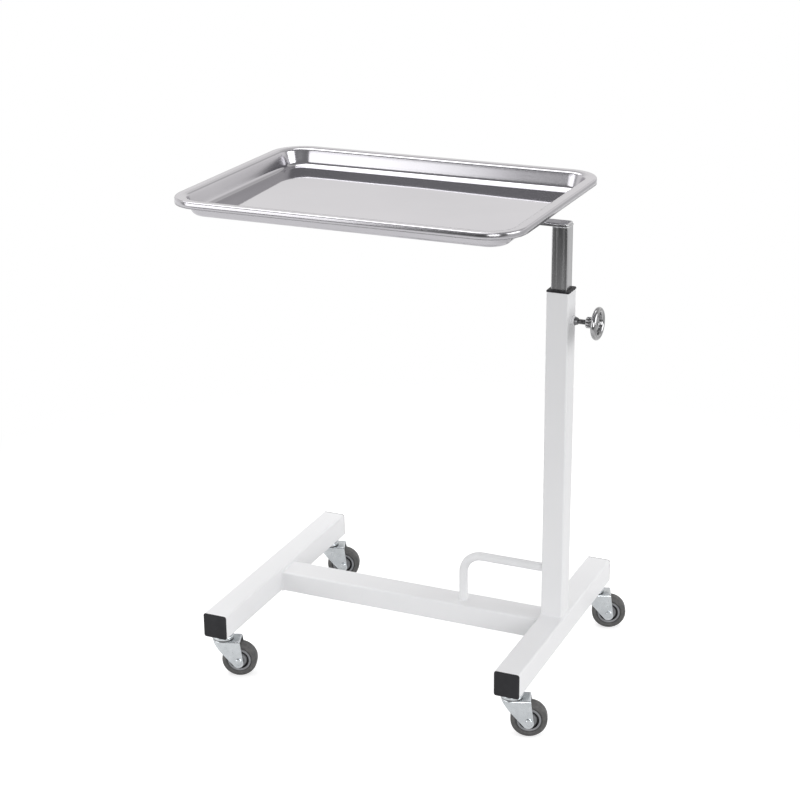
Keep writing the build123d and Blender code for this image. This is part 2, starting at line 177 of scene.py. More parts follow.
def axis_of(tree, vector, axis):
    """One axis of a vector."""
    node = tree.nodes.new("ShaderNodeSeparateXYZ")
    tree.links.new(vector, node.inputs["Vector"])
    return node.outputs[axis]


print("number helpers:", ranged.__name__, combined.__name__, vector_step.__name__, axis_of.__name__)

# %% [markdown]
# ## Studio
#
# The stand was photographed in front of white paper, with a dim room behind the camera. Polished steel shows
# that room more than it shows itself: the tray's walls are white where they mirror the paper and dark where
# they mirror the room. So the world isn't one grey. It is bright on the paper's side, dim on the camera's
# side and between the two overhead, by direction in the room and not by where the camera stands. The camera
# itself sees plain white.
#
# Each side is a column of tones, from straight down at 0 through the horizon at a half to overhead at 1.

# %% Choose the tones
scene.view_settings.view_transform = "Standard"
paper_side = Vector((-0.407, 0.914, 0.0))
paper_begins, paper_full = -0.15, 0.3
room_tint, paper_tint = (1.0, 1.0, 1.02), (1.0, 0.99, 0.985)
room_tones = [(0.0, 0.12), (0.49, 0.12), (0.54, 0.24), (0.74, 0.25), (0.91, 0.3), (0.98, 0.45)]
paper_tones = [(0.0, 0.72), (0.50, 0.77), (0.56, 0.86), (0.60, 1.0)]
paper_tones += [(0.68, 0.97), (0.74, 0.64), (0.90, 0.64), (0.97, 0.5)]


def tinted(tones, tint):
    """The stops of a ramp: each tone, given the same tint."""
    return [(place, tuple(tone * share for share in tint)) for place, tone in tones]


print("tones:", len(room_tones), "for the room and", len(paper_tones), "for the paper")

# %% Light the room
world = bpy.data.worlds.new("studio")
scene.world = world
world.use_nodes = True
world.cycles.sampling_method = "NONE"
sky = world.node_tree
sky.nodes.clear()
direction = sky.nodes.new("ShaderNodeTexCoord").outputs["Generated"]
height_share = ranged(sky, axis_of(sky, direction, "Z"), 0.0, 1.0, -1.0, 1.0, "LINEAR")
facing = vector_step(sky, "DOT_PRODUCT", direction, paper_side).outputs["Value"]
toward_paper = ranged(sky, facing, 0.0, 1.0, paper_begins, paper_full)
room = stepped(sky, height_share, tinted(room_tones, room_tint))
paper_wall = stepped(sky, height_share, tinted(paper_tones, paper_tint))
around = mixed(sky, toward_paper, room, paper_wall)
seen = sky.nodes.new("ShaderNodeLightPath").outputs["Is Camera Ray"]
glow = sky.nodes.new("ShaderNodeBackground")
sky.links.new(mixed(sky, seen, around, (1.0, 1.0, 1.0)), glow.inputs["Color"])
sky_out = sky.nodes.new("ShaderNodeOutputWorld")
sky.links.new(glow.outputs[0], sky_out.inputs["Surface"])
print("room lit with", len(sky.nodes), "nodes")

# %% [markdown]
# ## Lamps
#
# Four softboxes give the stand its form. The key stands on the right and makes the right faces the brightest,
# and one overhead lights the tops of the legs. The white panel on the left is wide and weak: it is what the
# tray's lip shows. The fill in front lifts the faces that look at the camera. How bright a softbox looks in
# polished steel is its power over its area, so both are written together.

# %% Hang the lamps
middle = (0, 0, 0.45)


def softbox(name, place, aim, width, height, watts):
    """A rectangular area lamp at a place, turned to face the aim."""
    data = bpy.data.lights.new(name, "AREA")
    data.shape = "RECTANGLE"
    data.size = width
    data.size_y = height
    data.energy = watts
    lamp = bpy.data.objects.new(name, data)
    scene.collection.objects.link(lamp)
    lamp.location = place
    lamp.rotation_mode = "QUATERNION"
    lamp.rotation_quaternion = (Vector(aim) - Vector(place)).to_track_quat("-Z", "Y")


softbox("key_softbox", (2.5, 0.0, 1.35), middle, 1.8, 1.8, 30)
softbox("white_panel", (-1.66, -1.89, 1.0), (-0.16, -0.04, 0.85), 1.75, 1.95, 21)
softbox("top_softbox", (-0.9, 0.4, 2.6), (-0.2, 0, 0.4), 1.8, 1.8, 28)
softbox("fill_softbox", (1.75, -2.7, 0.95), (0.1, 0, 0.4), 1.6, 1.5, 34)

# %% [markdown]
# ## Paper floor
#
# The paper has to look white up to the picture's edge and still take the stand's shadow. A floor lit to white
# would need lamps that burn out the paint, so half of its white is its own glow and half is light that it
# receives, which is where the shadow shows. Further out the glow takes over. Polished steel also sees the
# floor, and there the paper ends a metre in front of the stand, where the dark floor of the room begins.

# %% Start the paper
paper_grey = 0.75
paper = bpy.data.materials.new("studio_paper")
paper.use_nodes = True
sheet = paper.node_tree
sheet.nodes.clear()
floor_ray = sheet.nodes.new("ShaderNodeLightPath")
by_camera, by_gloss = floor_ray.outputs["Is Camera Ray"], floor_ray.outputs["Is Glossy Ray"]
floor_point = sheet.nodes.new("ShaderNodeTexCoord").outputs["Object"]
matt = sheet.nodes.new("ShaderNodeBsdfDiffuse")
matt.inputs["Color"].default_value = (paper_grey, paper_grey, paper_grey, 1)


def glowing(tree, strength):
    """White light as strong as a socket says."""
    node = tree.nodes.new("ShaderNodeEmission")
    tree.links.new(strength, node.inputs["Strength"])
    return node.outputs[0]


print("made", paper.name)

# %% Paper near the stand
glow_in_picture, glow_in_steel = 0.55, 0.15
picture_share = combined(sheet, "MULTIPLY", by_camera, glow_in_picture)
steel_share = combined(sheet, "MULTIPLY", by_gloss, glow_in_steel)
near = sheet.nodes.new("ShaderNodeAddShader")
sheet.links.new(matt.outputs[0], near.inputs[0])
sheet.links.new(glowing(sheet, combined(sheet, "ADD", picture_share, steel_share)), near.inputs[1])
print("near the stand the paper glows at", glow_in_picture)

# %% Paper further out
dark_floor, grey_floor, white_floor = 0.08, 0.30, 0.98
dark_ends, grey_starts, grey_ends, white_starts = -2.5, -1.8, -1.5, -0.7
right_floor, right_starts, right_ends = 0.66, 0.3, 1.1
front, right = axis_of(sheet, floor_point, "Y"), axis_of(sheet, floor_point, "X")
dark_to_grey = ranged(sheet, front, dark_floor, grey_floor, dark_ends, grey_starts)
grey_to_white = ranged(sheet, front, 0.0, white_floor - grey_floor, grey_ends, white_starts)
front_fade = combined(sheet, "ADD", dark_to_grey, grey_to_white)
right_fade = ranged(sheet, right, 1.0, right_floor, right_starts, right_ends)
room_floor = combined(sheet, "MULTIPLY", combined(sheet, "MULTIPLY", front_fade, right_fade), by_gloss)
far = glowing(sheet, combined(sheet, "ADD", room_floor, by_camera))
print("to steel the floor runs from", dark_floor, "to", white_floor)

# %% Lay the floor
floor_reach = 30.0
floor_below = 0.2 * MM
near_end, far_start = 0.5, 1.3
distance = vector_step(sheet, "LENGTH", floor_point).outputs["Value"]
floor_mix = sheet.nodes.new("ShaderNodeMixShader")
sheet.links.new(ranged(sheet, distance, 0.0, 1.0, near_end, far_start), floor_mix.inputs["Fac"])
sheet.links.new(near.outputs[0], floor_mix.inputs[1])
sheet.links.new(far, floor_mix.inputs[2])
sheet_out = sheet.nodes.new("ShaderNodeOutputMaterial")
sheet.links.new(floor_mix.outputs[0], sheet_out.inputs["Surface"])
corner_signs = ((-1, -1), (1, -1), (1, 1), (-1, 1))
floor_corners = [(sx * floor_reach, sy * floor_reach, -floor_below) for sx, sy in corner_signs]
floor_mesh = bpy.data.meshes.new("paper_floor")
floor_mesh.from_pydata(floor_corners, [], [(0, 1, 2, 3)])
floor_mesh.materials.append(paper)
floor = bpy.data.objects.new("paper_floor", floor_mesh)
scene.collection.objects.link(floor)
print("floor laid,", 2 * floor_reach, "m wide")

# %% [markdown]
# ## How a finish is made
#
# Every finish starts from the Principled shader. What stays the same all over a surface, such as how metallic
# it is, is set on the shader itself. What changes from place to place comes from noise in the piece's own
# coordinates, so it stays on the piece when that moves. A finish has up to three kinds of detail: the colour
# wanders a little, the gloss wanders a little, and a fine bump breaks up the reflections. Noise keeps mostly
# between 0.3 and 0.7, so those are the marks between which a tone or a gloss runs.

# %% Helpers for finishes
grain_low, grain_high = 0.3, 0.7


def finish(name, roughness, metallic=0.0):
    """A material with one Principled shader, its node tree and that shader."""
    made = bpy.data.materials.new(name)
    made.use_nodes = True
    tree = made.node_tree
    shader = tree.nodes["Principled BSDF"]
    shader.inputs["Metallic"].default_value = metallic
    shader.inputs["Roughness"].default_value = roughness
    return made, tree, shader


def grain(tree, per_metre, stretch=(1, 1, 1), detail=3.0):
    """Noise in the piece's own coordinates, with so many grains per metre, drawn out along an axis or not."""
    place = tree.nodes.new("ShaderNodeTexCoord")
    scaled = tree.nodes.new("ShaderNodeMapping")
    scaled.inputs["Scale"].default_value = [per_metre * s for s in stretch]
    tree.links.new(place.outputs["Object"], scaled.inputs["Vector"])
    noise = tree.nodes.new("ShaderNodeTexNoise")
    noise.inputs["Scale"].default_value = 1.0
    noise.inputs["Detail"].default_value = detail
    tree.links.new(scaled.outputs["Vector"], noise.inputs["Vector"])
    return noise.outputs["Fac"]


print("finish helpers:", finish.__name__, grain.__name__)

# %% Helpers for tone, gloss and bump


def two_tone(tree, factor, dark, light):
    """A colour that runs between two tones as the grain does between its marks."""
    return stepped(tree, factor, [(grain_low, dark), (grain_high, light)])


def tone(tree, shader, factor, dark, light):
    """Feeds the shader's base colour with one that runs between two tones."""
    tree.links.new(two_tone(tree, factor, dark, light), shader.inputs["Base Color"])


def gloss(tree, shader, factor, low, high, from_low=grain_low, from_high=grain_high):
    """Feeds the shader's roughness with a value that runs from low to high as the factor does."""
    value = ranged(tree, factor, low, high, from_low, from_high, "LINEAR")
    tree.links.new(value, shader.inputs["Roughness"])


def bump(tree, shader, height, depth_mm):
    """A bump so many millimetres deep on the shader's normal."""
    node = tree.nodes.new("ShaderNodeBump")
    node.inputs["Strength"].default_value = 1.0
    node.inputs["Distance"].default_value = depth_mm * MM
    tree.links.new(height, node.inputs["Height"])
    tree.links.new(node.outputs["Normal"], shader.inputs["Normal"])


print("detail helpers:", tone.__name__, gloss.__name__, bump.__name__)

# %% [markdown]
# ## White powder coat
#
# Powder coat is baked on as dust that melts, so it is glossy with a faint orange peel a few millimetres
# across. Low bumps that wide make the edges of reflections swim without showing as texture.

# %% White powder coat
white_paint, tree, shader = finish("white_powder_coat", 0.3)
tone(tree, shader, grain(tree, 9), (0.852, 0.855, 0.866), (0.862, 0.864, 0.872))
gloss(tree, shader, grain(tree, 60), 0.29, 0.34)
bump(tree, shader, grain(tree, 260, detail=1.0), 0.003)
print("made", white_paint.name)

# %% [markdown]
# ## Steel finishes
#
# The tray is drawn from polished sheet and its floor is still a mirror, which shows the white paper behind
# the stand and, under each wall, that wall upside down. The rim and the walls are a little hazier from the
# drawing. One material does both, by height above the floor of the tray. The mast tube and its arm were drawn
# through a die, which leaves fine lines along them. The casters are zinc plated, a bluish grey with soft
# mottling. Their ball rings are a dark steel, like the clamp's screw, which paints the shade between the
# races.

# %% Tray steel
tray_floor_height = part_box("tray")[0].z + 1.0 * MM
haze_starts, haze_full = tray_floor_height + 1.0 * MM, tray_floor_height + 9.0 * MM
mirror_roughness, drawn_roughness = 0.045, 0.19
tray_steel, tree, shader = finish("tray_stainless", 0.06, metallic=1.0)
tone(tree, shader, grain(tree, 7), (0.54, 0.53, 0.556), (0.57, 0.56, 0.586))
tray_point = tree.nodes.new("ShaderNodeTexCoord").outputs["Object"]
tray_height = axis_of(tree, tray_point, "Z")
gloss(tree, shader, tray_height, mirror_roughness, drawn_roughness, haze_starts, haze_full)
bump(tree, shader, grain(tree, 700, stretch=(0.03, 1, 1)), 0.0006)
print("made", tray_steel.name)

# %% Drawn tube
die_lines = (1, 1, 0.02)
drawn_steel, tree, shader = finish("drawn_stainless_tube", 0.16, metallic=1.0)
tone(tree, shader, grain(tree, 160, stretch=(1, 1, 0.03)), (0.52, 0.52, 0.53), (0.68, 0.68, 0.69))
gloss(tree, shader, grain(tree, 300, stretch=die_lines), 0.12, 0.26)
bump(tree, shader, grain(tree, 700, stretch=die_lines), 0.006)
print("made", drawn_steel.name)

# %% Zinc plate
zinc_plate, tree, shader = finish("zinc_plate", 0.25, metallic=1.0)
tone(tree, shader, grain(tree, 90), (0.60, 0.63, 0.65), (0.70, 0.73, 0.75))
gloss(tree, shader, grain(tree, 300), 0.21, 0.28)
bump(tree, shader, grain(tree, 400, detail=1.0), 0.0008)
print("made", zinc_plate.name)

# %% Dark steel
# Besides the screw and the boss's nose, this dark steel goes on the caster ball rings, where it paints the
# shade between the races.
dark_steel, tree, shader = finish("dark_steel", 0.3, metallic=1.0)
tone(tree, shader, grain(tree, 200), (0.13, 0.13, 0.135), (0.24, 0.24, 0.245))
gloss(tree, shader, grain(tree, 500), 0.22, 0.4)
bump(tree, shader, grain(tree, 1200), 0.006)
print("made", dark_steel.name)

# %% [markdown]
# ## Bright plate for the knob
#
# The knob's disc and hub are plated and polished. Plate mirrors the room, so its tone comes from the room and
# only a hazy patch here and there is its own.

# %% Knob plate
knob_plate, tree, shader = finish("knob_plate", 0.14, metallic=1.0)
tone(tree, shader, grain(tree, 180), (0.38, 0.38, 0.385), (0.45, 0.45, 0.455))
gloss(tree, shader, grain(tree, 420), 0.07, 0.16)
bump(tree, shader, grain(tree, 900, detail=1.0), 0.0003)
print("made", knob_plate.name)

# %% [markdown]
# ## Moulded plastics and rubber
#
# The caps and the guide bush are black polypropylene with a spark-eroded grain. The wheels have a grey
# plastic centre, its deep groove round the hub painted near black as shade, and a tyre of grey rubber that
# picks up dust and scuffs. The wheel's colours change with the distance from its axle, so the wheel needs its
# own origin at the axle.

# %% Black plastic
black_plastic, tree, shader = finish("black_polypropylene", 0.5)
shader.inputs["Specular IOR Level"].default_value = 0.3
tone(tree, shader, grain(tree, 60), (0.013, 0.013, 0.0155), (0.022, 0.022, 0.025))
gloss(tree, shader, grain(tree, 800), 0.42, 0.58)
bump(tree, shader, grain(tree, 2200), 0.05)
print("made", black_plastic.name)

# %% Rubber
black_rubber, tree, shader = finish("black_rubber", 0.75)
tone(tree, shader, grain(tree, 300), (0.014, 0.014, 0.014), (0.035, 0.035, 0.035))
bump(tree, shader, grain(tree, 1500), 0.05)

grey_tyre, tree, shader = finish("grey_tyre_rubber", 0.55)
tone(tree, shader, grain(tree, 140, detail=6.0), (0.062, 0.062, 0.062), (0.115, 0.113, 0.11))
gloss(tree, shader, grain(tree, 300), 0.42, 0.68)
bump(tree, shader, grain(tree, 1100), 0.04)
print("made", black_rubber.name, "and", grey_tyre.name)

# %% Wheel plastic
# The middle band, over the deep groove, is painted near black as the groove's shade.
hub_grey, groove_painted_shade, ring_grey = (0.20, 0.205, 0.215), (0.022, 0.022, 0.024), (0.30, 0.305, 0.32)
bands_reach = 20.0 * MM
groove_shade_starts, ring_starts = 0.59, 0.755
wheel_plastic, tree, shader = finish("grey_wheel_plastic", 0.42)
wheel_point = tree.nodes.new("ShaderNodeTexCoord").outputs["Object"]
across_axle = vector_step(tree, "MULTIPLY", wheel_point, (1, 1, 0)).outputs["Vector"]
from_axle = vector_step(tree, "LENGTH", across_axle).outputs["Value"]
band_stops = [(0.0, hub_grey), (groove_shade_starts, groove_painted_shade), (ring_starts, ring_grey)]
bands = stepped(tree, combined(tree, "DIVIDE", from_axle, bands_reach), band_stops, "CONSTANT")
dust = two_tone(tree, grain(tree, 200), (0.86, 0.86, 0.86), (1, 1, 1))
tree.links.new(mixed(tree, 1.0, bands, dust, "MULTIPLY"), shader.inputs["Base Color"])
gloss(tree, shader, grain(tree, 500), 0.34, 0.5)
bump(tree, shader, grain(tree, 1400), 0.02)
print("made", wheel_plastic.name, "with", len(band_stops), "bands")

# %% [markdown]
# ## Finishes on the frame's own pieces
#
# Tubes, bars, forks and fasteners have the right shape already, so each gets its finish and keeps its mesh.
# The meshes of the frame carry their own normals, which keep flat faces flat and let bends run smooth, so no
# shading has to be set here.

# %% Dress the frame's pieces
finish_of_slot = {
    "white_paint": white_paint,
    "black_plastic": black_plastic,
    "zinc_plate": zinc_plate,
    "polished_tube": drawn_steel,
    "tray_steel": tray_steel,
    "black_rubber": black_rubber,
    "chrome_hub": knob_plate,
    "knob_plate": knob_plate,
    "grey_plastic": wheel_plastic,
    "grey_tyre": grey_tyre,
}
slot_of_node = {piece["node"]: piece["material_slot"] for piece in frame["record"]["subparts"]}


def dress(obj, material):
    """Puts one material on the whole of a piece."""
    obj.data.materials.clear()
    obj.data.materials.append(material)


for name, node in cad_nodes.items():
    dress(node, finish_of_slot[slot_of_node[name]])
print("dressed", len(cad_nodes), "pieces of the frame")

# %% [markdown]
# ## Helpers for new pieces
#
# Most new pieces are either turned, like a tyre, or follow a rounded rectangle, like the tray. Both are rings
# of points joined by quads. Building the rings in code gives as many points round a bend as its reflections
# need. A piece may be drawn about its own origin and then stood in its place.

# %% Helper for a new piece


def new_piece(name, points, faces, material, slot_name, body, stands_for=(), place=None):
    """A smooth mesh piece that rides on a body and stands for pieces of the frame where it should."""
    mesh = bpy.data.meshes.new(name)
    mesh.from_pydata(points, [], faces)
    mesh.validate()
    mesh.shade_smooth()
    obj = bpy.data.objects.new(name, mesh)
    scene.collection.objects.link(obj)
    if place is not None:
        obj.matrix_world = place
    dress(obj, material)
    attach(obj, body)
    if stands_for:
        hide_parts(*stands_for)


print("piece helper:", new_piece.__name__)

# %% Helpers for rings


def joined_rings(rings, closed_way=False, start_cap=False, end_cap=False):
    """Quads between closed rings of equal length. The way along the rings closes too where asked."""
    count = len(rings[0])
    points = [p for ring in rings for p in ring]
    faces = []
    last = len(rings) if closed_way else len(rings) - 1
    for i in range(last):
        here, there = i * count, ((i + 1) % len(rings)) * count
        for k in range(count):
            step = (k + 1) % count
            faces.append((here + k, here + step, there + step, there + k))
    if start_cap:
        faces.append(tuple(reversed(range(count))))
    if end_cap:
        faces.append(tuple(range((len(rings) - 1) * count, len(rings) * count)))
    return points, faces


def turned_rings(profile, steps):
    """Rings about the local Z axis from a closed profile of (radius, height) in millimetres."""
    rings = []
    for i in range(steps):
        angle = 2 * math.pi * i / steps
        rings.append([(r * math.cos(angle) * MM, r * math.sin(angle) * MM, z * MM) for r, z in profile])
    return rings


print("ring helpers:", joined_rings.__name__, turned_rings.__name__)

# %% Helpers for outlines


def arc(centre_x, centre_y, radius, start, end, steps):
    """Points on an arc, from start to end in degrees."""
    angles = [math.radians(start + (end - start) * i / steps) for i in range(steps + 1)]
    return [(centre_x + radius * math.cos(a), centre_y + radius * math.sin(a)) for a in angles]


def rounded_plan(half_x, half_y, radius, corner_steps, side_steps):
    """Points round a rectangle with rounded corners, with extra points along its straight sides."""
    corners = [(1, 1, 0), (-1, 1, 90), (-1, -1, 180), (1, -1, 270)]
    runs = [
        arc(sx * (half_x - radius), sy * (half_y - radius), radius, a, a + 90, corner_steps)
        for sx, sy, a in corners
    ]
    plan = []
    for i, run in enumerate(runs):
        plan.extend(run)
        (ax, ay), (bx, by) = run[-1], runs[(i + 1) % 4][0]
        shares = [k / side_steps for k in range(1, side_steps)]
        plan.extend((ax + (bx - ax) * share, ay + (by - ay) * share) for share in shares)
    return plan


print("outline helpers:", arc.__name__, rounded_plan.__name__)

# %% [markdown]
# ## Tray
#
# The tray is one sheet: a lip turned down all round, a flange, walls that lean out and a flat floor. A solid
# made for strength checks has coarse facets in its corners, and polished steel shows every one of them. So
# the same section is carried round the rounded rectangle with many rings. The inner half of the flange falls
# away by almost a millimetre, as a pressed flange does, which gives it a dark line beside a bright one.

# %% Measure the tray
tray_low, tray_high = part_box("tray")
tray_middle = (tray_low + tray_high) / 2
half_length = (tray_high.x - tray_low.x) / 2 / MM
half_width = (tray_high.y - tray_low.y) / 2 / MM
rim_top = tray_high.z / MM
tray_depth = rim_top - tray_low.z / MM
print("tray", round(half_length * 2), "by", round(half_width * 2), "mm, depth", round(tray_depth, 1))

# %% Draw the tray's section
sheet_thickness = 1.0
lip_height, lip_bend = 10.0, 3.0
flange_width, flange_dome = 18.0, 0.8
rim_bend, floor_bend = 4.5, 10.0
wall_slope = math.radians(19.0)
bend_steps, flange_steps, wall_steps, floor_steps = 8, 8, 4, 12


def tray_upper_skin():
    """The upper skin, from the lip's lower edge to where the floor goes flat, as (inset, height)."""
    lean = math.degrees(wall_slope)
    skin = [(0.0, rim_top - lip_height), (0.0, rim_top - lip_height / 2)]
    skin += arc(lip_bend, rim_top - lip_bend, lip_bend, 180, 90, bend_steps)
    bend_x = flange_width - rim_bend * (1 - math.sin(wall_slope)) / math.cos(wall_slope)
    for share in (k / flange_steps for k in range(1, flange_steps)):
        drop = flange_dome * max(0.0, 2 * share - 1) ** 2
        skin.append((lip_bend + (bend_x - lip_bend) * share, rim_top - drop))
    skin += arc(bend_x, rim_top - flange_dome - rim_bend, rim_bend, 90, lean, bend_steps)
    floor_level = rim_top - tray_depth + sheet_thickness
    inner_bend = floor_bend - sheet_thickness
    wall_x, wall_z = skin[-1]
    foot_z = floor_level + inner_bend * (1 - math.sin(wall_slope))
    foot_x = wall_x + (wall_z - foot_z) * math.tan(wall_slope)
    for share in (k / wall_steps for k in range(1, wall_steps)):
        skin.append((wall_x + (foot_x - wall_x) * share, wall_z + (foot_z - wall_z) * share))
    centre_x = foot_x + inner_bend * math.cos(wall_slope)
    skin += arc(centre_x, floor_level + inner_bend, inner_bend, 180 + lean, 270, floor_steps)
    return skin


upper = tray_upper_skin()
print("the tray's skin has", len(upper), "points")

# %% Build the tray
corner_radius, least_radius = 56.0, 1.0
corner_steps, side_steps = 24, 6


def thickened(skin, thickness):
    """The same section seen from below: every point moved by the sheet's thickness across the skin."""
    below = []
    for i, (x, z) in enumerate(skin):
        (ax, az), (bx, bz) = skin[max(i - 1, 0)], skin[min(i + 1, len(skin) - 1)]
        length = math.hypot(bx - ax, bz - az)
        below.append((x + (bz - az) / length * thickness, z - (bx - ax) / length * thickness))
    return below


def tray_ring(inset, height):
    """One ring of the tray in metres: the rounded rectangle drawn in by an inset, at a height."""
    radius = max(corner_radius - inset, least_radius)
    plan = rounded_plan(half_length - inset, half_width - inset, radius, corner_steps, side_steps)
    return [(tray_middle.x + x * MM, tray_middle.y + y * MM, height * MM) for x, y in plan]


skin_rings = [tray_ring(x, z) for x, z in [*reversed(thickened(upper, sheet_thickness)), *upper]]
points, faces = joined_rings(skin_rings, start_cap=True, end_cap=True)
new_piece("tray_sheet", points, faces, tray_steel, "tray_steel", "tray", ["tray"])
print("built the tray with", len(faces), "faces")

# %% [markdown]
# ## Wheels
#
# A wheel is turned, so its section is drawn once and spun, and each half of the section mirrors the other.
# The tyre has a crowned tread with the fine line of its mould, and round shoulders. The centre has a hub, a
# deep groove and a ring. Both are built round their own axle and then stood at the place of the frame's
# wheel, because the finish of the centre counts its bands from the axle.

# %% Draw the wheel's sections
tread_radius = 28.0
mould_line = (27.85, 0.0)


def mirrored(half):
    """The other half of a section, from its middle outward."""
    return [(radius, -height) for radius, height in reversed(half)]


tyre_half = [(18.6, 8.5), (19.4, 9.6)]
tyre_half += arc(21.5, 6.6, 4.4, 100, 60, 4)
tyre_half += arc(23.6, 6.4, 4.2, 55, 8, 6)
tyre_half += [(27.95, 4.2), (tread_radius, 2.0), (tread_radius, 0.35)]
tyre_section = [*tyre_half, mould_line, *mirrored(tyre_half)]
hub_half = [(5.2, 10.6), (8.0, 11.0), (10.6, 10.4), (11.6, 9.4), (11.9, 6.5)]
groove_half = [(12.4, 5.2), (14.2, 5.2), (14.8, 6.4)]
ring_half = [(15.1, 9.2), (15.8, 9.9), (17.8, 9.9), (18.5, 9.2), (18.6, 8.0)]
centre_half = hub_half + groove_half + ring_half
centre_section = [*centre_half, *mirrored(centre_half)]
print("tyre section of", len(tyre_section), "points, centre of", len(centre_section))

# %% Build the wheels
wheel_steps = 96
caster_turn = math.radians(20)
wheel_names = ["front_left", "front_right", "rear_left", "rear_right"]
wheel_parts = [
    ("tyre_tread", tyre_section, grey_tyre, "grey_tyre", "_tyre"),
    ("wheel_centre", centre_section, wheel_plastic, "grey_plastic", "_wheel_rim"),
]
axle_way = Vector((-math.sin(caster_turn), math.cos(caster_turn), 0))
along_axle = axle_way.to_track_quat("Z", "Y").to_matrix().to_4x4()
for name in wheel_names:
    low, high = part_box(name + "_tyre")
    place = Matrix.Translation((low + high) / 2) @ along_axle
    for kind, section, material, slot_name, old in wheel_parts:
        points, faces = joined_rings(turned_rings(section, wheel_steps), closed_way=True)
        piece = name + "_" + kind
        new_piece(piece, points, faces, material, slot_name, name + "_wheel", [name + old], place)
print("built", len(wheel_names), "wheels")

# %% [markdown]
# ## Clamp
#
# The knob is three pieces that turn as one: a disc with a thick round rim and a dished web, a hub with ten
# scallops to grip, and the screw with its thread. The thread is a real helix: each ring of the screw is
# turned a little further than the last. The boss on the post was painted with the post, apart from its nose,
# which stayed bare.

# %% Helpers for the clamp
clamp_low, clamp_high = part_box("clamp_boss")
clamp_line = (clamp_low + clamp_high) / 2
along_x = Vector((1, 0, 0)).to_track_quat("Z", "Y").to_matrix().to_4x4()


def on_clamp(name, points, faces, material, slot_name, body, start_x, stands_for=()):
    """A piece drawn about its own Z axis, laid along the clamp's axis from a place along X."""
    place = Matrix.Translation((start_x, clamp_line.y, clamp_line.z)) @ along_x
    new_piece(name, points, faces, material, slot_name, body, stands_for, place)


def wavy_rings(sections, steps):
    """Rings about the local Z axis from (height, radius by angle) in millimetres."""
    turns = [2 * math.pi * i / steps for i in range(steps)]
    rings = []
    for z, radius in sections:
        rings.append([(radius(a) * math.cos(a) * MM, radius(a) * math.sin(a) * MM, z * MM) for a in turns])
    return rings


print("clamp axis at", tuple(round(c, 4) for c in clamp_line))

# %% Build the boss
boss_steps = 48
collar_section = [(4.1, 0.0), (7.0, 0.0), (7.0, 4.7), (6.8, 5.0), (4.1, 5.0)]
nose_section = [(4.1, 5.0), (6.6, 5.0), (6.5, 5.6), (5.2, 9.4), (4.8, 10.0), (4.1, 10.0)]
for name, section, material, slot_name, old in (
    ("boss_collar", collar_section, white_paint, "white_paint", ["clamp_boss"]),
    ("boss_nose", nose_section, dark_steel, "zinc_plate", []),
):
    points, faces = joined_rings(turned_rings(section, boss_steps), closed_way=True)
    on_clamp(name, points, faces, material, slot_name, "base", clamp_low.x, old)
print("built the boss")

# %% Build the screw
screw_low, screw_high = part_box("clamp_screw")
screw_length = (screw_high.x - screw_low.x) / MM
screw_steps = 40
thread_pitch, thread_crest, thread_depth = 1.25, 3.95, 0.75
rings_per_pitch = 10
run_out = 1.2
end_extra = 0.2


def thread_radius(z):
    """The screw's radius by angle at a height: a ridge that climbs one pitch in a turn."""
    fade = min(1.0, z / run_out, (screw_length - z) / run_out)
    depth = thread_depth * (1 + end_extra - end_extra * fade)
    climbed = z / thread_pitch
    return lambda a: thread_crest - depth * abs(2 * ((climbed - a / (2 * math.pi)) % 1) - 1)


ring_count = int(screw_length / thread_pitch * rings_per_pitch)
heights = [screw_length * i / ring_count for i in range(ring_count + 1)]
rings = wavy_rings([(z, thread_radius(z)) for z in heights], screw_steps)
points, faces = joined_rings(rings, start_cap=True, end_cap=True)
on_clamp("screw_thread", points, faces, dark_steel, "zinc_plate", "knob", screw_low.x, ["clamp_screw"])
print("screw", round(screw_length, 1), "mm with", ring_count, "rings")

# %% Build the knob's hub
hub_low, hub_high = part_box("knob_hub")
hub_length = (hub_high.x - hub_low.x) / MM
hub_radius = 8.4
scallop_count, scallop_depth = 10, 2.1
knob_steps = 120


def scallops(size, depth):
    """The hub's radius by angle: ribs with round hollows between them."""
    return lambda a: size - depth * (0.5 - 0.5 * math.cos(scallop_count * a)) ** 1.5


hub_sections = [
    (0.0, scallops(hub_radius - 1.6, 0.3)),
    (0.4, scallops(hub_radius - 0.6, 0.9)),
    (1.1, scallops(hub_radius, scallop_depth)),
    (hub_length / 2, scallops(hub_radius, scallop_depth)),
    (hub_length - 0.4, scallops(hub_radius, scallop_depth)),
    (hub_length, scallops(hub_radius - 0.3, scallop_depth)),
]
points, faces = joined_rings(wavy_rings(hub_sections, knob_steps), start_cap=True, end_cap=True)
on_clamp("hub_ribbed", points, faces, knob_plate, "chrome_hub", "knob", hub_low.x, ["knob_hub"])
print("hub", round(hub_length, 1), "mm long")

# %% Build the knob's disc
disc_low, disc_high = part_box("knob_disc")
rim_middle, rim_minor, rim_steps = 20.5, 4.5, 48
bore_radius, web_back = 4.0, 1.6
web_reach, web_level, web_dish, dish_spread = 12.1, 3.9, 1.6, 1.25
rim_starts, rim_ends = 182, -168
web_steps = 14
disc_section = [(bore_radius, web_back)]
for share in (k / web_steps for k in range(web_steps + 1)):
    dished = web_level + web_dish * math.cos(math.pi * share / dish_spread)
    disc_section.append((bore_radius + web_reach * share, dished))
disc_section += arc(rim_middle, rim_minor, rim_minor, rim_starts, rim_ends, rim_steps)
disc_section += [(15.0, 3.4), (12.0, 2.7), (8.5, 1.8), (6.0, web_back)]
disc_section.reverse()
points, faces = joined_rings(turned_rings(disc_section, knob_steps), closed_way=True)
on_clamp("disc_polished", points, faces, knob_plate, "knob_plate", "knob", disc_low.x, ["knob_disc"])
print("disc", round((disc_high.z - disc_low.z) / MM, 1), "mm across")

# %% [markdown]
# ## Weld beads
#
# The base is welded at every joint, and the paint has run over the beads and softened them. The arm's bead on
# the mast is bare steel. A bead is a thin round cord that follows the outline of the tube that it joins, and
# its thickness swells a little at each ripple.

